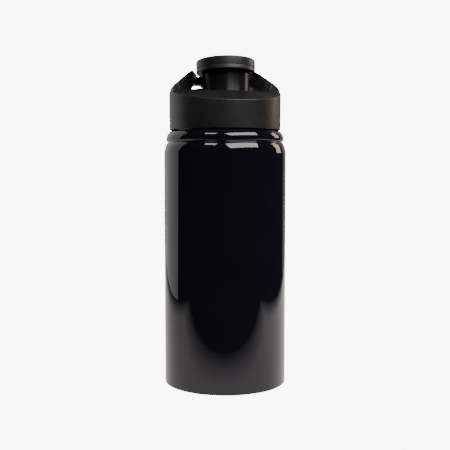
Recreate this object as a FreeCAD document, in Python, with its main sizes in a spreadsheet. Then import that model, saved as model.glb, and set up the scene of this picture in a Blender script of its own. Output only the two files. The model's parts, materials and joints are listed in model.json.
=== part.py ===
import FreeCAD, Part
import math
import os
import Sketcher

# Steel sports bottle: a double-walled body with a threaded neck, a screw lid with a sloping deck,
# a carry loop and a drinking spout, and a round cap that flips back on a pin in the loop's crossbar.
# Millimetres. The origin is the centre of the base, +Z is up, and -Y is the lid's low front.

SIZES = {
    # outer shell
    "body_radius": 36.5,
    "steel_wall": 0.8,
    "base_edge": 0.8,
    "hem_radius": 32.6,
    "shoulder_start": 137.4,
    "shoulder_end": 144.2,
    "shoulder_end_radius": 34.75,
    "shoulder_curve": 14.09,
    "shoulder_inside_end": 144.0,
    "groove_radius": 34.2,
    "groove_low": 144.5,
    "groove_high": 145.0,
    "bead_low_curve": 1.7,
    "bead_radius": 35.1,
    "bead_height": 146.5,
    "bead_curve": 5.825,
    "bead_end_radius": 31.9,
    "bead_top": 151.7,
    "bead_inside_end_radius": 31.7,
    # bottom pieces
    "cup_floor": 2.6,
    "cup_wall_top": 6.4,
    "port_radius": 1.5,
    "plate_rim_height": 0.3,
    "plate_middle_height": 1.2,
    "plate_middle_radius": 22.0,
    "plate_step": 1.5,
    "seal_bead_radius": 2.5,
    "seal_bead_depth": 0.5,
    "getter_radius": 5.0,
    "getter_thickness": 1.4,
    # inner liner and its neck
    "liner_radius": 33.0,
    "liner_floor": 6.0,
    "liner_corner": 6.0,
    "liner_shoulder_start": 130.0,
    "liner_shoulder_middle": 136.63,
    "liner_shoulder_end": 143.27,
    "liner_middle_radius": 31.0,
    "liner_curve": 12.0,
    "liner_inside_middle": 136.19,
    "liner_inside_middle_radius": 30.333,
    "neck_radius": 29.0,
    "rim_curve": 0.3,
    "rim_top": 162.0,
    # screw thread, right-handed, one start
    "thread_pitch": 4.0,
    "thread_rise": 5.0,
    "thread_start": 154.5,
    "thread_depth": 1.0,
    "thread_base_half": 0.9,
    "thread_crest_half": 0.4,
    "thread_root_sink": 0.2,
    "thread_clearance": 0.3,
    # lid
    "lid_bottom": 152.0,
    "lid_bottom_radius": 33.2,
    "skirt_edge": 0.4,
    "skirt_end_radius": 33.41,
    "skirt_end": 172.19,
    "skirt_to_cone_curve": 9.0,
    "cone_start_radius": 30.25,
    "cone_start": 179.13,
    "cone_end_radius": 19.4,
    "cone_end": 188.4,
    "lid_inner_bottom": 152.6,
    "lid_inner_radius": 31.3,
    "lid_plate_low": 163.9,
    "lid_plate_high": 166.0,
    "slope_height": 175.2,
    "slope_angle": 12.2,
    "crown_inset": 0.9,
    "crown_sink": 4.0,
    "crown_step": 0.2,
    "crown_radius": 15.6,
    "crown_height": 175.6,
    "crown_centre": -3.3,
    "crown_tilt": 5.0,
    "dome_radius": 18.9,
    "dome_top": 171.2,
    "dome_centre": -3.6,
    # finger well and carry loop
    "well_radius": 20.3,
    "well_centre": -2.8,
    "well_half_width": 19.6,
    "well_floor": 168.0,
    "arch_foot": 175.2,
    "arch_end": 14.2,
    "arch_curve": 6.2,
    "crossbar_under": 180.4,
    "crossbar_half": 15.0,
    "crossbar_corner": 12.0,
    "crossbar_front": 15.5,
    "wing_far_half": 50.0,
    "wing_far_front": 19.5,
    "wing_tip_half": 18.3,
    "wing_tip_back": 5.65,
    "cap_room_low": 22.9,
    "cap_room_high": 18.7,
    "cap_room_depth": 24.0,
    "loop_peak_back": 5.8,
    "loop_peak_height": 187.5,
    "loop_top_angle": 13.0,
    "deck_edge_curve": 0.6,
    "loop_back_curve": 1.5,
    "wing_edge_curve": 0.4,
    "crossbar_curve": 0.5,
    # spout
    "spout_radius": 14.0,
    "spout_bore": 12.0,
    "spout_gap": 0.25,
    "spout_tilt": 5.5,
    "spout_rim_gap": 0.3,
    "spout_flange": 18.7,
    "spout_flange_height": 1.5,
    "spout_length": 22.5,
    "spout_rim_curve": 0.7,
    # flip cap, measured from the middle of the disc's underside, square to the spout
    "cap_centre": -2.2,
    "cap_height": 185.3,
    "cap_base_radius": 17.4,
    "cap_radius": 17.55,
    "cap_seam": 2.6,
    "cap_top": 7.5,
    "cap_edge": 0.8,
    "cap_low_edge": 0.4,
    "cap_cover_wall": 1.7,
    "cap_cover_roof": 1.6,
    "cap_boss_radius": 15.8,
    "cap_boss_top": 4.6,
    "seam_bevel": 0.25,
    "seal_radius": 13.7,
    "seal_seat_radius": 13.8,
    "seal_thickness": 0.9,
    "seal_drop": 0.1,
    "plug_radius": 11.5,
    "plug_lip_radius": 11.7,
    "plug_bore": 9.6,
    "plug_depth": 4.0,
    "plug_lip_depth": 2.6,
    "plug_taper": 0.6,
    "arm_half_width": 7.5,
    "arm_thickness": 2.0,
    "arm_start": 12.0,
    # hinge
    "pin_reach": 22.1,
    "pin_drop": 0.3,
    "pin_radius": 1.0,
    "pin_half_length": 10.6,
    "pin_clearance": 0.05,
    "knuckle_radius": 2.2,
    "knuckle_gap": 0.4,
    "lug_half_width": 11.0,
    "lug_radius": 2.6,
    "cradle_radius": 4.0,
    "notch_half_width": 7.9,
    "notch_top": 182.2,
    # gasket
    "gasket_inner_radius": 26.9,
    "gasket_outer_radius": 29.9,
    "gasket_gap": 0.1,
}

# Rounded edges of the lid, in the order they are made: the sheet's name for the radius, then the ranges
# that the edge's middle lies in, as distance from the axis, Y and Z.
ROUNDED = {
    "deck_edge_curve": ((33.2, 33.6), (-34.0, -10.0), (166.0, 172.0)),
    "loop_back_curve": ((25.0, 27.0), (25.0, 27.0), (182.4, 183.4)),
    "wing_edge_curve": ((19.0, 20.2), (4.5, 6.0), (179.0, 186.0)),
    "crossbar_curve": ((20.2, 20.5), (13.6, 13.9), (185.2, 186.2)),
}

FULL_TURN = 360
REACH = 60.0

doc = FreeCAD.newDocument("bottle")


def make_sheet():
    """Put every driving dimension in one sheet, a name beside each number."""
    page = doc.addObject("Spreadsheet::Sheet", "Sizes")
    for row, (name, number) in enumerate(SIZES.items(), start=1):
        page.set(f"A{row}", name)
        page.set(f"B{row}", str(number))
        page.setAlias(f"B{row}", name)
    doc.recompute()
    return page


sheet = make_sheet()


def split_sum(text):
    """Split a sum such as 'a - b + c' into signed names."""
    terms = []
    sign = 1
    for word in text.split():
        if word in ("+", "-"):
            sign = 1 if word == "+" else -1
        else:
            terms.append((sign, word))
            sign = 1
    return terms


def size(text):
    """The value of a sum of names in the sheet."""
    return sum(sign * float(sheet.get(name)) for sign, name in split_sum(text))


def bound(text):
    """The same sum as an expression on the sheet."""
    words = [f"{'-' if sign < 0 else '+'} Sizes.{name}" for sign, name in split_sum(text)]
    return " ".join(words).removeprefix("+ ")


def bind(thing, **sums):
    """Bind properties of a document object to sums of names."""
    for name, text in sums.items():
        thing.setExpression(name, bound(text))


def arc_between(start, end, radius, bulge):
    """An arc through two points; bulge is +1 when it lies left of the way from start to end."""
    chord = end - start
    half = chord.Length / 2
    rise = radius - math.sqrt(max(radius * radius - half * half, 0.0))
    side = FreeCAD.Vector(-chord.y, chord.x, 0).normalize()
    middle = (start + end) / 2 + side * (bulge * rise)
    return Part.Arc(start, middle, end)


def hold_point(sketch, side, end, along, text):
    """Tie one end of a side to the sketch's origin along X or Y."""
    distance = size(text)
    axis = -2 if along == "DistanceX" else -1
    if abs(distance) < 1e-9:
        sketch.addConstraint(Sketcher.Constraint("PointOnObject", side, end, axis))
        return
    if distance > 0:
        rule = Sketcher.Constraint(along, -1, 1, side, end, distance)
        expression = bound(text)
    else:
        rule = Sketcher.Constraint(along, side, end, -1, 1, -distance)
        expression = f"-({bound(text)})"
    index = sketch.addConstraint(rule)
    sketch.setExpression(f"Constraints[{index}]", expression)


def draw_outline(sketch, corners, arcs=None):
    """Draw a closed outline. corners are pairs of sums, '' for zero; arcs maps a side to its radius."""
    arcs = arcs or {}
    points = [FreeCAD.Vector(size(across), size(up), 0) for across, up in corners]
    count = len(points)
    for side in range(count):
        start = points[side]
        end = points[(side + 1) % count]
        if side in arcs:
            radius, bulge = arcs[side]
            sketch.addGeometry(arc_between(start, end, size(radius), bulge), False)
        else:
            sketch.addGeometry(Part.LineSegment(start, end), False)
    heads = []
    tails = []
    for side in range(count):
        # an arc is stored counterclockwise, so one that bulges right runs from start to end
        turned = side in arcs and arcs[side][1] > 0
        heads.append(2 if turned else 1)
        tails.append(1 if turned else 2)
    for side in range(count):
        following = (side + 1) % count
        joined = Sketcher.Constraint("Coincident", side, tails[side], following, heads[following])
        sketch.addConstraint(joined)
    for side, (across, up) in enumerate(corners):
        hold_point(sketch, side, heads[side], "DistanceX", across)
        hold_point(sketch, side, heads[side], "DistanceY", up)
    for side, (radius, _) in arcs.items():
        index = sketch.addConstraint(Sketcher.Constraint("Radius", side, size(radius)))
        sketch.setExpression(f"Constraints[{index}]", bound(radius))
    return sketch


def body_sketch(body, name, role, corners, arcs=None):
    """A closed sketch on one of a body's own origin planes."""
    sketch = body.newObject("Sketcher::SketchObject", name)
    plane = next(item for item in body.Origin.OriginFeatures if item.Role == role)
    sketch.AttachmentSupport = [(plane, "")]
    sketch.MapMode = "FlatFace"
    doc.recompute()
    return draw_outline(sketch, corners, arcs)


def turned_body(name, corners, arcs=None):
    """A body revolved about its Z axis from an outline of radius and height."""
    body = doc.addObject("PartDesign::Body", name)
    body.Label = name
    sketch = body_sketch(body, f"{name}_outline", "XZ_Plane", corners, arcs)
    turned = body.newObject("PartDesign::Revolution", f"{name}_turned")
    turned.Profile = sketch
    turned.ReferenceAxis = (sketch, ["V_Axis"])
    turned.Angle = FULL_TURN
    sketch.Visibility = False
    doc.recompute()
    return body


def add_thread(body, name, corners):
    """Wind one ridge of the screw thread on a turned body from its section at the start."""
    sketch = body_sketch(body, f"{name}_profile", "XZ_Plane", corners)
    ridge = body.newObject("PartDesign::AdditiveHelix", name)
    ridge.Profile = sketch
    ridge.ReferenceAxis = (sketch, ["V_Axis"])
    ridge.Mode = 0
    bind(ridge, Pitch="thread_pitch", Height="thread_rise")
    sketch.Visibility = False
    doc.recompute()


def primitive(kind, name, **sums):
    """A Part primitive with its sizes bound to the sheet."""
    solid = doc.addObject(kind, name)
    bind(solid, **sums)
    return solid


def cylinder(name, radius, height, across=(), **places):
    """A Part cylinder along Z, or along X when across names its half length."""
    solid = primitive("Part::Cylinder", name, Radius=radius)
    if across:
        solid.setExpression("Height", f"2 * Sizes.{across}")
        solid.Placement.Rotation = FreeCAD.Rotation(FreeCAD.Vector(0, 1, 0), 90)
        solid.setExpression("Placement.Base.x", f"-Sizes.{across}")
    else:
        bind(solid, Height=height)
    for axis, text in places.items():
        solid.setExpression(f"Placement.Base.{axis}", text)
    return solid


def block(name, half_width, low_y, high_y, low_z, high_z):
    """A box about the YZ plane, its edges given as expressions on the sheet."""
    solid = doc.addObject("Part::Box", name)
    solid.setExpression("Length", f"2 * ({half_width})")
    solid.setExpression("Width", f"({high_y}) - ({low_y})")
    solid.setExpression("Height", f"({high_z}) - ({low_z})")
    solid.setExpression("Placement.Base.x", f"-({half_width})")
    solid.setExpression("Placement.Base.y", low_y)
    solid.setExpression("Placement.Base.z", low_z)
    return solid


def cut(name, base, tool):
    """Base with tool taken away."""
    result = doc.addObject("Part::Cut", name)
    result.Base = base
    result.Tool = tool
    result.Refine = False
    return result


def fuse(name, *solids):
    """Solids joined into one."""
    result = doc.addObject("Part::MultiFuse", name)
    result.Shapes = list(solids)
    result.Refine = False
    return result


def common(name, *solids):
    """What solids share."""
    result = doc.addObject("Part::MultiCommon", name)
    result.Shapes = list(solids)
    result.Refine = False
    return result


def extrusion(name, sketch, direction, length):
    """A sketch pushed along a direction into a solid."""
    solid = doc.addObject("Part::Extrusion", name)
    solid.Base = sketch
    solid.Dir = direction
    solid.Solid = True
    bind(solid, LengthFwd=length)
    return solid


def lean_block(name, angle, hinge_y, hinge_z):
    """A large box above the plane through a line along X that is tilted by angle about that line."""
    solid = doc.addObject("Part::Box", name)
    solid.Length = 2 * REACH
    solid.Width = 2 * REACH
    solid.Height = REACH
    turn = math.radians(angle)
    corner = FreeCAD.Vector(-REACH, hinge_y - REACH * math.cos(turn), hinge_z - REACH * math.sin(turn))
    solid.Placement = FreeCAD.Placement(corner, FreeCAD.Rotation(FreeCAD.Vector(1, 0, 0), angle))
    return solid


def rounded(base, radius, ranges):
    """Base with the edges rounded whose middles lie in the ranges."""
    doc.recompute()
    picked = []
    for index, edge in enumerate(base.Shape.Edges, start=1):
        middle = edge.valueAt((edge.FirstParameter + edge.LastParameter) / 2)
        measures = (math.hypot(middle.x, middle.y), middle.y, middle.z)
        if all(low < measure < high for measure, (low, high) in zip(measures, ranges)):
            picked.append(index)
    fillet = doc.addObject("Part::Fillet", radius)
    fillet.Base = base
    fillet.Edges = [(index, size(radius), size(radius)) for index in picked]
    return fillet


# ---------------------------------------------------------------- bottle

outer_shell = turned_body(
    "outer_shell",
    [
        ("hem_radius", ""),
        ("body_radius - base_edge", ""),
        ("body_radius", "base_edge"),
        ("body_radius", "shoulder_start"),
        ("shoulder_end_radius", "shoulder_end"),
        ("groove_radius", "groove_low"),
        ("groove_radius", "groove_high"),
        ("bead_radius", "bead_height"),
        ("bead_end_radius", "bead_top"),
        ("neck_radius", "bead_top"),
        ("neck_radius", "bead_top - steel_wall"),
        ("bead_inside_end_radius", "bead_top - steel_wall"),
        ("bead_radius - steel_wall", "bead_height"),
        ("groove_radius - steel_wall", "groove_high"),
        ("groove_radius - steel_wall", "groove_low"),
        ("shoulder_end_radius - steel_wall", "shoulder_inside_end"),
        ("body_radius - steel_wall", "shoulder_start"),
        ("body_radius - steel_wall", "steel_wall"),
        ("hem_radius", "steel_wall"),
    ],
    {
        1: ("base_edge", -1),
        3: ("shoulder_curve", -1),
        6: ("bead_low_curve", -1),
        7: ("bead_curve", -1),
        11: ("bead_curve - steel_wall", 1),
        15: ("shoulder_curve - steel_wall", 1),
    },
)

inner_liner = turned_body(
    "inner_liner",
    [
        ("", "liner_floor"),
        ("liner_radius - liner_corner", "liner_floor"),
        ("liner_radius", "liner_floor + liner_corner"),
        ("liner_radius", "liner_shoulder_start"),
        ("liner_middle_radius", "liner_shoulder_middle"),
        ("neck_radius", "liner_shoulder_end"),
        ("neck_radius", "rim_top - rim_curve"),
        ("neck_radius - rim_curve", "rim_top"),
        ("neck_radius - steel_wall + rim_curve", "rim_top"),
        ("neck_radius - steel_wall", "rim_top - rim_curve"),
        ("neck_radius - steel_wall", "liner_shoulder_end"),
        ("liner_inside_middle_radius", "liner_inside_middle"),
        ("liner_radius - steel_wall", "liner_shoulder_start"),
        ("liner_radius - steel_wall", "liner_floor + liner_corner"),
        ("liner_radius - liner_corner", "liner_floor + steel_wall"),
        ("", "liner_floor + steel_wall"),
    ],
    {
        1: ("liner_corner", -1),
        3: ("liner_curve", -1),
        4: ("liner_curve", 1),
        6: ("rim_curve", -1),
        8: ("rim_curve", -1),
        10: ("liner_curve + steel_wall", -1),
        11: ("liner_curve - steel_wall", 1),
        13: ("liner_corner - steel_wall", 1),
    },
)
add_thread(
    inner_liner,
    "neck_thread",
    [
        ("neck_radius - thread_root_sink", "thread_start - thread_base_half"),
        ("neck_radius + thread_depth", "thread_start - thread_crest_half"),
        ("neck_radius + thread_depth", "thread_start + thread_crest_half"),
        ("neck_radius - thread_root_sink", "thread_start + thread_base_half"),
    ],
)

turned_body(
    "bottom_cup",
    [
        ("port_radius", "cup_floor"),
        ("body_radius - steel_wall", "cup_floor"),
        ("body_radius - steel_wall", "cup_wall_top"),
        ("body_radius - steel_wall - steel_wall", "cup_wall_top"),
        ("body_radius - steel_wall - steel_wall", "cup_floor + steel_wall"),
        ("port_radius", "cup_floor + steel_wall"),
    ],
)

turned_body(
    "base_plate",
    [
        ("", "plate_middle_height"),
        ("plate_middle_radius", "plate_middle_height"),
        ("plate_middle_radius + plate_step", "plate_rim_height"),
        ("hem_radius", "plate_rim_height"),
        ("hem_radius", "plate_rim_height + steel_wall"),
        ("plate_middle_radius + plate_step", "plate_rim_height + steel_wall"),
        ("plate_middle_radius", "plate_middle_height + steel_wall"),
        ("", "plate_middle_height + steel_wall"),
    ],
)

turned_body(
    "vacuum_seal",
    [
        ("", "cup_floor - seal_bead_depth"),
        ("seal_bead_radius", "cup_floor - seal_bead_depth"),
        ("seal_bead_radius", "cup_floor"),
        ("port_radius", "cup_floor"),
        ("port_radius", "cup_floor + steel_wall"),
        ("", "cup_floor + steel_wall"),
    ],
)

turned_body(
    "getter",
    [
        ("", "liner_floor - getter_thickness"),
        ("getter_radius", "liner_floor - getter_thickness"),
        ("getter_radius", "liner_floor"),
        ("", "liner_floor"),
    ],
)

# ---------------------------------------------------------------- lid

turned_body(
    "lid_gasket",
    [
        ("gasket_inner_radius", "rim_top + gasket_gap"),
        ("gasket_outer_radius", "rim_top + gasket_gap"),
        ("gasket_outer_radius", "lid_plate_low - gasket_gap"),
        ("gasket_inner_radius", "lid_plate_low - gasket_gap"),
    ],
)


def spout_place():
    """The cap's own frame: the middle of the disc's underside, tilted back with the spout."""
    corner = FreeCAD.Vector(0, size("cap_centre"), size("cap_height"))
    return FreeCAD.Placement(corner, FreeCAD.Rotation(FreeCAD.Vector(1, 0, 0), -size("spout_tilt")))


def along_spout(height):
    """The spout's frame moved along its axis."""
    return spout_place().multiply(FreeCAD.Placement(FreeCAD.Vector(0, 0, height), FreeCAD.Rotation()))


pin_point = spout_place().multVec(FreeCAD.Vector(0, size("pin_reach"), -size("pin_drop")))
PIN_Y = f"{pin_point.y:.6f}"
PIN_Z = f"{pin_point.z:.6f}"


def make_blank():
    """The lid's turned outside: skirt wall, then a cone up to the cap, with its seam at the front."""
    blank = turned_body(
        "lid_blank",
        [
            ("lid_inner_radius", "lid_bottom"),
            ("lid_bottom_radius - skirt_edge", "lid_bottom"),
            ("lid_bottom_radius", "lid_bottom + skirt_edge"),
            ("skirt_end_radius", "skirt_end"),
            ("cone_start_radius", "cone_start"),
            ("cone_end_radius", "cone_end"),
            ("", "cone_end"),
            ("", "lid_plate_high"),
            ("lid_inner_radius", "lid_plate_high"),
        ],
        {1: ("skirt_edge", -1), 3: ("skirt_to_cone_curve", -1)},
    )
    blank.Placement.Rotation = FreeCAD.Rotation(FreeCAD.Vector(0, 0, 1), -90)
    return blank


def make_deck():
    """The sloping deck with its crown, whose foot is sunk into the slope and whose rim is a small step."""
    stock = cylinder("deck_stock", "body_radius", "crossbar_under - lid_bottom", z="Sizes.lid_bottom")
    sloped = cut("lid_sloped", stock, lean_block("above_slope", size("slope_angle"), 0, size("slope_height")))
    ring = primitive("Part::Circle", "crown_ring", Radius="crown_radius")
    lean_edge(ring, size("crown_centre"), size("crown_height"), size("crown_tilt"))
    foot = crown_rim("crown_foot", "slope_height - crown_sink")
    rim = crown_rim("crown_rim", "slope_height + crown_step")
    crown = doc.addObject("Part::Loft", "crown")
    crown.Sections = [foot, rim, ring]
    crown.Solid = True
    crown.Ruled = True
    dome = cylinder(
        "dome_cavity", "dome_radius", "dome_top - lid_bottom", y="Sizes.dome_centre", z="Sizes.lid_bottom")
    spout_hole = primitive("Part::Cylinder", "spout_hole", Radius="spout_radius + spout_gap")
    spout_hole.Height = REACH
    spout_hole.Placement = along_spout(-REACH / 2)
    raised = common("deck_solid", fuse("deck_raised", sloped, crown), stock)
    return cut("lid_deck", raised, fuse("deck_hollows", dome, spout_hole))


def crown_rim(name, height):
    """The slope's outline a little inside the skirt, at a height on the lid's axis."""
    rim = doc.addObject("Part::Ellipse", name)
    rim.setExpression("MinorRadius", "Sizes.lid_bottom_radius - Sizes.crown_inset")
    rim.setExpression(
        "MajorRadius", "(Sizes.lid_bottom_radius - Sizes.crown_inset) / cos(Sizes.slope_angle * 1deg)")
    lean_edge(rim, 0, size(height), size("slope_angle"))
    return rim


def lean_edge(curve, centre_y, centre_z, angle):
    """Place a closed curve about the YZ plane, tilted about X, its seam at the front."""
    lean = FreeCAD.Rotation(FreeCAD.Vector(1, 0, 0), angle)
    to_front = FreeCAD.Rotation(FreeCAD.Vector(0, 0, 1), -90)
    curve.Placement = FreeCAD.Placement(FreeCAD.Vector(0, centre_y, centre_z), lean.multiply(to_front))


def make_loop():
    """The carry loop: it stands behind the two wing faces and round the cap's room, under a sloping top."""
    stock = cylinder("loop_stock", "body_radius + steel_wall", "cone_end - well_floor", z="Sizes.well_floor")
    plan = doc.addObject("Sketcher::SketchObject", "space_before_loop")
    right_side = [
        ("wing_far_half", "- wing_far_front"),
        ("wing_tip_half", "wing_tip_back"),
        ("crossbar_half", "crossbar_corner"),
        ("crossbar_half", "crossbar_front"),
    ]
    left_side = [("- " + across, up) for across, up in reversed(right_side)]
    far = "- body_radius - body_radius"
    far_front = [("- wing_far_half", far), ("wing_far_half", far)]
    draw_outline(plan, right_side + left_side + far_front)
    before = extrusion("before_loop", plan, FreeCAD.Vector(0, 0, 1), "body_radius")
    before.setExpression("Placement.Base.z", "Sizes.lid_plate_high")
    room = primitive(
        "Part::Cone", "cap_room", Radius1="cap_room_low", Radius2="cap_room_high", Height="cap_room_depth")
    room.Placement.Base = FreeCAD.Vector(0, size("cap_centre"), size("lid_plate_high"))
    top = lean_block("above_loop", -size("loop_top_angle"), size("loop_peak_back"), size("loop_peak_height"))
    return cut("loop", cut("loop_behind_wings", stock, before), fuse("loop_spaces", room, top))


def make_well():
    """The finger well and the arched window under the crossbar, open to the back."""
    view = doc.addObject("Sketcher::SketchObject", "window_view")
    view.Placement.Rotation = FreeCAD.Rotation(FreeCAD.Vector(1, 0, 0), 90)
    draw_outline(
        view,
        [
            ("well_half_width", "well_floor"),
            ("well_half_width", "arch_foot"),
            ("arch_end", "crossbar_under"),
            ("- arch_end", "crossbar_under"),
            ("- well_half_width", "arch_foot"),
            ("- well_half_width", "well_floor"),
        ],
        {1: ("arch_curve", -1), 3: ("arch_curve", -1)},
    )
    window = extrusion("window", view, FreeCAD.Vector(0, 1, 0), "body_radius + body_radius")
    deck_disc = cylinder(
        "deck_disc", "well_radius", "crossbar_under", y="Sizes.well_centre", z="Sizes.lid_bottom")
    return cut("finger_well", window, deck_disc)


def make_hinge(loop):
    """Lugs for the pin on the crossbar, and the room that the knuckle turns in."""
    lugs = cylinder("lugs", "lug_radius", "", "lug_half_width", y=PIN_Y, z=PIN_Z)
    cradle = cylinder("cradle", "cradle_radius", "", "lug_half_width", y=PIN_Y, z=PIN_Z)
    above = block(
        "above_cradle", "Sizes.lug_half_width", f"{PIN_Y} - Sizes.cradle_radius",
        f"{PIN_Y} + Sizes.cradle_radius", PIN_Z, f"{PIN_Z} + Sizes.cradle_radius",
    )
    knuckle_room = cylinder(
        "knuckle_room", "knuckle_radius + knuckle_gap", "", "notch_half_width", y=PIN_Y, z=PIN_Z)
    above_notch = block(
        "above_notch", "Sizes.notch_half_width", "0", "Sizes.body_radius",
        "Sizes.notch_top", "Sizes.cap_height + Sizes.cap_top",
    )
    pin_hole = cylinder("pin_hole", "pin_radius", "", "pin_half_length", y=PIN_Y, z=PIN_Z)
    hinged = fuse("loop_hinged", loop, lugs, cut("cradle_low", cradle, above))
    return cut("loop_notched", hinged, fuse("hinge_spaces", knuckle_room, above_notch, pin_hole))


def make_lid_shell():
    """The lid's outer moulding: skirt, crowned deck, finger well, carry loop and hinge lugs."""
    upper = common("lid_upper", make_blank(), fuse("deck_and_loop", make_deck(), make_loop()))
    smoothed = cut("lid_welled", upper, make_well())
    for radius, ranges in ROUNDED.items():
        smoothed = rounded(smoothed, radius, ranges)
    shell = make_hinge(smoothed)
    shell.Label = "lid_shell"
    return shell


lid_shell = make_lid_shell()


def make_lid_inner():
    """The lid's inner moulding: a threaded cup whose top plate holds the spout."""
    cup = turned_body(
        "lid_cup",
        [
            ("lid_inner_radius", "lid_inner_bottom"),
            ("lid_inner_radius", "lid_plate_high"),
            ("", "lid_plate_high"),
            ("", "lid_plate_low"),
            ("neck_radius + thread_depth + thread_clearance", "lid_plate_low"),
            ("neck_radius + thread_depth + thread_clearance", "lid_inner_bottom"),
        ],
    )
    root = "- neck_radius - thread_depth - thread_clearance - thread_root_sink"
    crest = "- neck_radius - thread_clearance"
    add_thread(
        cup,
        "lid_thread",
        [
            (root, "thread_start + thread_base_half"),
            (crest, "thread_start + thread_crest_half"),
            (crest, "thread_start - thread_crest_half"),
            (root, "thread_start - thread_base_half"),
        ],
    )
    spout_hole = primitive("Part::Cylinder", "cup_spout_hole", Radius="spout_radius")
    spout_hole.Height = REACH
    spout_hole.Placement = along_spout(-REACH / 2)
    inner = cut("lid_inner", cup, spout_hole)
    inner.Label = "lid_inner"
    return inner


def make_spout():
    """The drinking spout: a tilted tube with a flange that the lid's shell holds down."""
    tube = turned_body(
        "spout_tube",
        [
            ("spout_bore", "- spout_length"),
            ("spout_radius", "- spout_length"),
            ("spout_radius", "- spout_rim_gap - spout_rim_curve"),
            ("spout_radius - spout_rim_curve", "- spout_rim_gap"),
            ("spout_bore", "- spout_rim_gap"),
        ],
        {2: ("spout_rim_curve", -1)},
    )
    tube.Placement = spout_place()
    below_plate = block(
        "below_plate", "Sizes.body_radius", "-Sizes.body_radius", "Sizes.body_radius",
        "Sizes.lid_bottom", "Sizes.lid_plate_low",
    )
    flange = cylinder(
        "spout_flange_disc", "spout_flange", "spout_flange_height",
        y="Sizes.dome_centre", z="Sizes.lid_plate_high")
    bore = primitive("Part::Cylinder", "spout_bore_space", Radius="spout_bore")
    bore.Height = REACH
    bore.Placement = along_spout(-REACH / 2)
    solid = cut("spout_solid", fuse("spout_whole", cut("spout_tube_cut", tube, below_plate), flange), bore)
    solid.Label = "spout"
    return solid


def make_hinge_pin():
    """The steel pin that the cap turns on."""
    return cylinder("hinge_pin", "pin_radius", "", "pin_half_length", y=PIN_Y, z=PIN_Z)


def make_cap_base():
    """The disc's lower layer with its arm and knuckle, in the cap's own frame."""
    disc = turned_body(
        "cap_disc",
        [
            ("", "seal_thickness"),
            ("seal_seat_radius", "seal_thickness"),
            ("seal_seat_radius", ""),
            ("cap_base_radius - cap_low_edge", ""),
            ("cap_base_radius", "cap_low_edge"),
            ("cap_base_radius", "cap_seam - seam_bevel"),
            ("cap_base_radius - seam_bevel", "cap_seam"),
            ("cap_boss_radius", "cap_seam"),
            ("cap_boss_radius", "cap_boss_top"),
            ("", "cap_boss_top"),
        ],
        {3: ("cap_low_edge", -1)},
    )
    arm = block(
        "cap_arm", "Sizes.arm_half_width", "Sizes.arm_start", "Sizes.pin_reach", "0", "Sizes.arm_thickness")
    knuckle = cylinder(
        "knuckle", "knuckle_radius", "", "arm_half_width", y="Sizes.pin_reach", z="-Sizes.pin_drop")
    pin_room = cylinder(
        "pin_room", "pin_radius + pin_clearance", "", "pin_half_length", y="Sizes.pin_reach",
        z="-Sizes.pin_drop")
    seat = cylinder("seal_seat", "seal_seat_radius", "seal_thickness")
    base = cut("cap_base", fuse("cap_base_solid", disc, arm, knuckle), fuse("cap_spaces", pin_room, seat))
    base.Label = "cap_base"
    base.Placement = spout_place()
    return base


make_lid_inner()
make_spout()
make_hinge_pin()
make_cap_base()

cap_top = turned_body(
    "cap_top",
    [
        ("cap_radius - seam_bevel", "cap_seam"),
        ("cap_radius", "cap_seam + seam_bevel"),
        ("cap_radius", "cap_top - cap_edge"),
        ("cap_radius - cap_edge", "cap_top"),
        ("", "cap_top"),
        ("", "cap_top - cap_cover_roof"),
        ("cap_radius - cap_cover_wall", "cap_top - cap_cover_roof"),
        ("cap_radius - cap_cover_wall", "cap_seam"),
    ],
    {2: ("cap_edge", -1)},
)
cap_top.Placement = spout_place()

cap_seal = turned_body(
    "cap_seal",
    [
        ("", "seal_thickness"),
        ("", "- seal_drop"),
        ("plug_bore", "- seal_drop"),
        ("plug_bore", "- plug_depth"),
        ("plug_radius - plug_taper", "- plug_depth"),
        ("plug_lip_radius", "- plug_lip_depth"),
        ("plug_radius", "- plug_lip_depth + plug_taper"),
        ("plug_radius", "- seal_drop"),
        ("seal_radius", "- seal_drop"),
        ("seal_radius", "seal_thickness"),
    ],
)
cap_seal.Placement = spout_place()

NODES = (
    "outer_shell",
    "inner_liner",
    "bottom_cup",
    "base_plate",
    "vacuum_seal",
    "getter",
    "lid_gasket",
    "lid_shell",
    "lid_inner",
    "spout",
    "hinge_pin",
    "cap_base",
    "cap_top",
    "cap_seal",
)

doc.recompute()
for thing in doc.Objects:
    if "Invalid" in thing.State or "Error" in thing.State:
        raise RuntimeError(f"{thing.Name} is {thing.State}")

os.makedirs("parts", exist_ok=True)
for node in NODES:
    shape = doc.getObjectsByLabel(node)[0].Shape
    if shape.isNull() or not shape.isValid() or len(shape.Solids) != 1:
        raise RuntimeError(f"{node} has no single valid solid")
    print(node, round(shape.Volume, 1))
    shape.exportStep(f"parts/{node}.step")
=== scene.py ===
import json
import math
import bmesh
import bpy
from mathutils import Matrix, Vector


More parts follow.
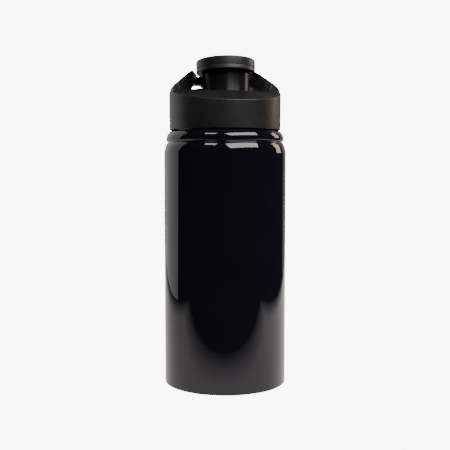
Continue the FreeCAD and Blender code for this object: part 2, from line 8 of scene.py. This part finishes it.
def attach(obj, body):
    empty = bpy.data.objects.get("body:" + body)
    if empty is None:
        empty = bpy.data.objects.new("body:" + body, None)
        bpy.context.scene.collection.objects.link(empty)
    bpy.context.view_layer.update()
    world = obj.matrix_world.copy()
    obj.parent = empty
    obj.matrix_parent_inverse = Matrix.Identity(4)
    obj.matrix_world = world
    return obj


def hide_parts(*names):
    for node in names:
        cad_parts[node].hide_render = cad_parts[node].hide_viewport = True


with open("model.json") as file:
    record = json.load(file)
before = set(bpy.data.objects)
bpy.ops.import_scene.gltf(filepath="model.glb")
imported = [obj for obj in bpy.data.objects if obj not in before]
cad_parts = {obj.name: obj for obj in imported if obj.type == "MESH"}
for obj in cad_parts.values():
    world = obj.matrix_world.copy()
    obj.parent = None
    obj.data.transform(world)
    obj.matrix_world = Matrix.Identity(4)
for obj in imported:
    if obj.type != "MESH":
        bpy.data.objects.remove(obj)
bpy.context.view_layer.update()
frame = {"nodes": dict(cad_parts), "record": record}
print("frame loaded")


# node maths written as Python expressions

class Wire:
    def __init__(self, finish, socket):
        self.finish = finish
        self.socket = socket

    def math(self, operation, first, second):
        return self.finish.node("ShaderNodeMath", {"operation": operation}, {0: first, 1: second})

    def __add__(self, other):
        return self.math("ADD", self, other)

    def __radd__(self, other):
        return self.math("ADD", other, self)

    def __sub__(self, other):
        return self.math("SUBTRACT", self, other)

    def __rsub__(self, other):
        return self.math("SUBTRACT", other, self)

    def __mul__(self, other):
        return self.math("MULTIPLY", self, other)

    def __rmul__(self, other):
        return self.math("MULTIPLY", other, self)


class Finish:
    def __init__(self, name):
        self.material = bpy.data.materials.new(name)
        self.material.use_nodes = True
        self.tree = self.material.node_tree
        self.shader = self.tree.nodes["Principled BSDF"]

    def feed(self, socket, value):
        if isinstance(value, Wire):
            self.tree.links.new(value.socket, socket)
        else:
            socket.default_value = value

    def node(self, kind, settings, inputs, out=0):
        made = self.tree.nodes.new(kind)
        for key, value in settings.items():
            if key == "stops":
                for element, (position, shade) in zip(made.color_ramp.elements, value):
                    element.position = position
                    element.color = (shade, shade, shade, 1)
            else:
                setattr(made, key, value)
        for place, value in inputs.items():
            self.feed(made.inputs[place], value)
        return Wire(self, made.outputs[out])

    def place(self, stretch=(1, 1, 1)):
        spot = self.node("ShaderNodeTexCoord", {}, {}, "Object")
        return self.node("ShaderNodeMapping", {}, {"Vector": spot, "Scale": stretch})

    def noise(self, scale, detail, stretch=(1, 1, 1)):
        return self.node("ShaderNodeTexNoise", {}, {
            "Vector": self.place(stretch), "Scale": scale, "Detail": detail, "Roughness": 0.55}, "Fac")

    def grains(self, scale):
        return self.node("ShaderNodeTexVoronoi", {"feature": "F1"}, {
            "Vector": self.place(), "Scale": scale}, "Distance")

    def ramp(self, value, low, high, top=1.0):
        # nothing up to low, then rising to top at high
        return self.node("ShaderNodeValToRGB", {"stops": [(low, 0.0), (high, top)]}, {0: value})

    def blend(self, factor, first, second):
        return self.node("ShaderNodeMix", {"data_type": "RGBA"}, {0: factor, 6: first, 7: second}, 2)

    def bump(self, height, strength, distance):
        return self.node("ShaderNodeBump", {}, {"Strength": strength, "Distance": distance, "Height": height})

    def set(self, **values):
        for name, value in values.items():
            self.feed(self.shader.inputs[name.replace("_", " ")], value)
        return self.material


lacquerLook = {
    "base": (0.0036, 0.0028, 0.0062, 1), "dust": (0.014, 0.0135, 0.015, 1), "rough": 0.025, "ior": 1.5,
    "hazeScale": 38, "hazeFrom": 0.45, "hazeTo": 0.75, "hazeTint": 0.12, "hazeRough": 0.02,
    "wipeScale": 900, "wipeStretch": (1, 1, 0.02), "wipeFrom": 0.66, "wipeTo": 0.8,
    "wipeRough": 0.03, "wipeDepth": 0.2, "peelScale": 420, "bump": 0.02, "bumpDistance": 0.00008}


def makeLacquer():
    # mirror gloss black: faint haze, fine vertical wipe marks and a trace of orange peel
    look = lacquerLook
    paint = Finish("gloss_black_lacquer")
    haze = paint.ramp(paint.noise(look["hazeScale"], 4), look["hazeFrom"], look["hazeTo"])
    wipe = paint.ramp(paint.noise(look["wipeScale"], 2, look["wipeStretch"]), look["wipeFrom"], look["wipeTo"])
    peel = paint.noise(look["peelScale"], 2)
    return paint.set(
        Base_Color=paint.blend(haze * look["hazeTint"], look["base"], look["dust"]),
        Roughness=look["rough"] + haze * look["hazeRough"] + wipe * look["wipeRough"],
        Normal=paint.bump(peel + wipe * look["wipeDepth"], look["bump"], look["bumpDistance"]),
        IOR=look["ior"])


satinLook = {
    "base": (0.0068, 0.0066, 0.0072, 1), "worn": (0.016, 0.0155, 0.015, 1), "rough": 0.42, "ior": 1.49,
    "cloudScale": 55, "wornFrom": 0.4, "wornTo": 0.8, "wornTop": 0.5, "roughSpread": 0.08,
    "grainScale": 2400, "fuzzScale": 1500, "fuzzDepth": 0.6, "bump": 0.22, "bumpDistance": 0.00005}


def makeSatinPlastic():
    # fine spark texture with slightly paler rubbed patches
    look = satinLook
    plastic = Finish("satin_black_plastic")
    cloud = plastic.noise(look["cloudScale"], 4)
    worn = plastic.ramp(cloud, look["wornFrom"], look["wornTo"], look["wornTop"])
    texture = plastic.grains(look["grainScale"]) + plastic.noise(look["fuzzScale"], 2) * look["fuzzDepth"]
    return plastic.set(
        Base_Color=plastic.blend(worn, look["base"], look["worn"]),
        Roughness=look["rough"] + (cloud - 0.5) * look["roughSpread"],
        Normal=plastic.bump(texture, look["bump"], look["bumpDistance"]),
        IOR=look["ior"])


smoothLook = {
    "base": (0.004, 0.004, 0.0045, 1), "scuff": (0.01, 0.01, 0.011, 1), "rough": 0.24, "shine": 0.1,
    "flowScale": 60, "flowStretch": (1, 1, 0.15), "scuffShare": 0.5, "roughSpread": 0.08,
    "pebbleScale": 700, "bump": 0.06, "bumpDistance": 0.00005}


def makeSmoothPlastic():
    # polished mould finish with faint upright flow marks
    look = smoothLook
    plastic = Finish("smooth_black_plastic")
    flow = plastic.noise(look["flowScale"], 3, look["flowStretch"])
    return plastic.set(
        Base_Color=plastic.blend(flow * look["scuffShare"], look["base"], look["scuff"]),
        Roughness=look["rough"] + (flow - 0.5) * look["roughSpread"],
        Normal=plastic.bump(plastic.noise(look["pebbleScale"], 3), look["bump"], look["bumpDistance"]),
        Specular_IOR_Level=look["shine"])


steelLook = {
    "base": (0.56, 0.555, 0.54, 1), "dark": (0.38, 0.375, 0.365, 1), "rough": 0.3,
    "lineScale": 260, "lineStretch": (1, 1, 14), "lineTint": 0.4, "lineRough": 0.12,
    "cloudScale": 40, "cloudTint": 0.2, "bump": 0.12, "bumpDistance": 0.00004}


def makeSteel():
    # turned satin steel: fine lines round the axis
    look = steelLook
    steel = Finish("satin_steel")
    lines = steel.noise(look["lineScale"], 3, look["lineStretch"])
    cloud = steel.noise(look["cloudScale"], 3)
    tint = lines * look["lineTint"] + cloud * look["cloudTint"]
    return steel.set(
        Base_Color=steel.blend(tint, look["base"], look["dark"]),
        Metallic=1.0,
        Roughness=look["rough"] + lines * look["lineRough"],
        Normal=steel.bump(lines, look["bump"], look["bumpDistance"]))


metalLooks = {
    "drawn_pin_steel": {
        "base": (0.5, 0.5, 0.49, 1), "dark": (0.3, 0.3, 0.29, 1), "rough": 0.25, "mottleScale": 500},
    "dull_solder": {
        "base": (0.42, 0.42, 0.43, 1), "dark": (0.2, 0.2, 0.21, 1), "rough": 0.5, "mottleScale": 300},
    "sintered_getter": {
        "base": (0.14, 0.14, 0.15, 1), "dark": (0.06, 0.06, 0.06, 1), "rough": 0.75, "mottleScale": 900}}
metalGrain = {"roughSpread": 0.15, "bump": 0.2, "bumpDistance": 0.00006}


def makeMetal(name):
    # small metal parts: mottled, with a grain of their own
    look = metalLooks[name]
    metal = Finish(name)
    mottle = metal.noise(look["mottleScale"], 4)
    return metal.set(
        Base_Color=metal.blend(mottle, look["base"], look["dark"]),
        Metallic=1.0,
        Roughness=look["rough"] + mottle * metalGrain["roughSpread"],
        Normal=metal.bump(mottle, metalGrain["bump"], metalGrain["bumpDistance"]))


siliconeLook = {
    "base": (0.012, 0.012, 0.0125, 1), "bloom": (0.03, 0.03, 0.03, 1), "rough": 0.6,
    "bloomScale": 120, "bloomFrom": 0.5, "bloomTo": 0.85, "bloomTop": 0.6, "bloomRough": 0.1,
    "grainScale": 1300, "bump": 0.15, "bumpDistance": 0.00005}


def makeSilicone():
    # dull rubber with a faint pale bloom
    look = siliconeLook
    rubber = Finish("black_silicone")
    bloom = rubber.noise(look["bloomScale"], 4)
    pale = rubber.ramp(bloom, look["bloomFrom"], look["bloomTo"], look["bloomTop"])
    return rubber.set(
        Base_Color=rubber.blend(pale, look["base"], look["bloom"]),
        Roughness=look["rough"] + bloom * look["bloomRough"],
        Normal=rubber.bump(rubber.noise(look["grainScale"], 2), look["bump"], look["bumpDistance"]))


finishOfSlot = {
    "lacquer": makeLacquer(), "steel": makeSteel(), "silicone": makeSilicone(),
    "satin_plastic": makeSatinPlastic(), "smooth_plastic": makeSmoothPlastic(),
    "pin_steel": makeMetal("drawn_pin_steel"), "solder": makeMetal("dull_solder"),
    "getter_metal": makeMetal("sintered_getter")}
print("finishes made")


smoothing = {"mergeDistance": 0.000002, "sharpDegrees": 32}


def smoothCopy(node, name, body, finish):
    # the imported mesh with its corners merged, so that round faces shade smoothly
    mesh = frame["nodes"][node].data.copy()
    mesh.name = name
    build = bmesh.new()
    build.from_mesh(mesh)
    bmesh.ops.remove_doubles(build, verts=build.verts, dist=smoothing["mergeDistance"])
    build.to_mesh(mesh)
    build.free()
    mesh.shade_smooth()
    mesh.set_sharp_from_angle(angle=math.radians(smoothing["sharpDegrees"]))
    mesh.materials.clear()
    mesh.materials.append(finish)
    piece = bpy.data.objects.new(name, mesh)
    bpy.context.scene.collection.objects.link(piece)
    # broad faces keep their own direction beside small rounded edges
    weight = piece.modifiers.new("weighted", "WEIGHTED_NORMAL")
    weight.keep_sharp = True
    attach(piece, body)
    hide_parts(node)


slotOfNode = {entry["node"]: entry["material_slot"] for entry in frame["record"]["subparts"]}
bodyOfNode = {node: body for body, nodes in frame["record"]["behaviour"]["bodies"].items() for node in nodes}
for node, slotName in slotOfNode.items():
    smoothCopy(node, node + "_skin", bodyOfNode[node], finishOfSlot[slotName])
print("pieces made")


# studio: a pale floor, soft boxes and the camera; azimuths are measured from the camera's own side

studio = {
    "cameraAzimuth": -12.0, "cameraDistance": 0.494, "cameraHeight": 0.12975, "cameraPitch": 4.014,
    "lens": 65.45, "sensorWidth": 36, "lampAimHeight": 0.14, "whiteness": 9.0, "surround": (0.03, 0.03, 0.03)}
floorLook = {
    "front": 0.15, "back": 0.9, "halfWidth": 0.35, "cellsAcross": 60, "cellsAlong": 90, "drop": 0.0001,
    "fade": 0.09, "glow": (1.35, 1.28, 1.24), "middleShare": 0.95, "rightShare": 0.25}
softBoxes = {
    # azimuth, elevation, distance, width, height, radiance, colour
    "key_box": (40, 43, 1.0, 1.0, 0.5, 10.5, (1, 0.99, 1)),
    "front_box": (-34, 47, 1.0, 0.34, 0.22, 9.0, (1, 0.88, 0.78)),
    "left_panel": (-126, 10, 1.0, 1.13, 1.4, 0.9, (1, 1, 1)),
    "right_panel": (152, 10, 1.0, 0.5, 1.4, 0.35, (1, 0.98, 0.96)),
    "warm_box": (121, 18, 1.0, 0.3, 0.5, 5.0, (1, 0.82, 0.66))}


def whiteToCamera(tree, glow, output):
    # plain white where the camera looks, and only a dim glow in everything it lights
    path = tree.nodes.new("ShaderNodeLightPath")
    kind = "ShaderNodeBackground" if output.bl_idname == "ShaderNodeOutputWorld" else "ShaderNodeEmission"
    dim = tree.nodes.new(kind)
    dim.inputs["Color"].default_value = (*glow, 1)
    white = tree.nodes.new(kind)
    white.inputs["Strength"].default_value = studio["whiteness"]
    white.inputs["Color"].default_value = (1, 1, 1, 1)
    mix = tree.nodes.new("ShaderNodeMixShader")
    tree.links.new(path.outputs["Is Camera Ray"], mix.inputs[0])
    tree.links.new(dim.outputs[0], mix.inputs[1])
    tree.links.new(white.outputs[0], mix.inputs[2])
    tree.links.new(mix.outputs[0], output.inputs["Surface"])
    return dim


def towards(azimuth, distance, height):
    turn = math.radians(studio["cameraAzimuth"] + azimuth)
    return Vector((math.sin(turn) * distance, -math.cos(turn) * distance, height))


def makeFloor():
    # its front and sides end softly in the reflections, by a colour attribute on a fine grid
    look = floorLook
    halfLength = (look["back"] + look["front"]) / 2
    build = bmesh.new()
    bmesh.ops.create_grid(build, x_segments=look["cellsAcross"], y_segments=look["cellsAlong"], size=1)
    bmesh.ops.scale(build, verts=build.verts, vec=(look["halfWidth"], halfLength, 1))
    glow = build.verts.layers.float_color.new("glow")
    for vert in build.verts:
        inside = min(look["halfWidth"] - abs(vert.co.x), vert.co.y + halfLength) / look["fade"]
        slant = look["middleShare"] + look["rightShare"] * vert.co.x / look["halfWidth"]
        share = min(max(inside, 0), 1) * slant
        vert[glow] = (*[channel * share for channel in look["glow"]], 1)
    turn = Matrix.Rotation(math.radians(studio["cameraAzimuth"]), 4, "Z")
    shift = Matrix.Translation((0, (look["back"] - look["front"]) / 2, -look["drop"]))
    bmesh.ops.transform(build, verts=build.verts, matrix=turn @ shift)
    mesh = bpy.data.meshes.new("floor")
    build.to_mesh(mesh)
    build.free()
    floor = bpy.data.objects.new("floor", mesh)
    bpy.context.scene.collection.objects.link(floor)
    pale = bpy.data.materials.new("pale_floor")
    pale.use_nodes = True
    dim = whiteToCamera(pale.node_tree, look["glow"], pale.node_tree.nodes["Material Output"])
    spread = pale.node_tree.nodes.new("ShaderNodeAttribute")
    spread.attribute_name = "glow"
    pale.node_tree.links.new(spread.outputs["Color"], dim.inputs["Color"])
    mesh.materials.append(pale)


def makeWorld():
    world = bpy.data.worlds.new("studio")
    bpy.context.scene.world = world
    world.use_nodes = True
    whiteToCamera(world.node_tree, studio["surround"], world.node_tree.nodes["World Output"])


def addBox(name, azimuth, elevation, distance, width, tall, radiance, colour):
    lamp = bpy.data.lights.new(name, "AREA")
    lamp.shape = "RECTANGLE"
    lamp.size = width
    lamp.size_y = tall
    lamp.energy = radiance * math.pi * width * tall
    lamp.color = colour
    holder = bpy.data.objects.new(name, lamp)
    bpy.context.scene.collection.objects.link(holder)
    rise = math.radians(elevation)
    aim = Vector((0, 0, studio["lampAimHeight"]))
    holder.location = aim + towards(azimuth, distance * math.cos(rise), distance * math.sin(rise))
    holder.rotation_euler = (aim - holder.location).to_track_quat("-Z", "Y").to_euler()


def makeCamera():
    lensData = bpy.data.cameras.new("camera")
    lensData.sensor_width = studio["sensorWidth"]
    lensData.lens = studio["lens"]
    camera = bpy.data.objects.new("camera", lensData)
    bpy.context.scene.collection.objects.link(camera)
    camera.location = towards(0, studio["cameraDistance"], studio["cameraHeight"])
    pitch = math.radians(90 - studio["cameraPitch"])
    camera.rotation_euler = (pitch, 0, math.radians(studio["cameraAzimuth"]))
    bpy.context.scene.camera = camera


makeFloor()
makeWorld()
for name, place in softBoxes.items():
    addBox(name, *place)
makeCamera()
print("studio made")
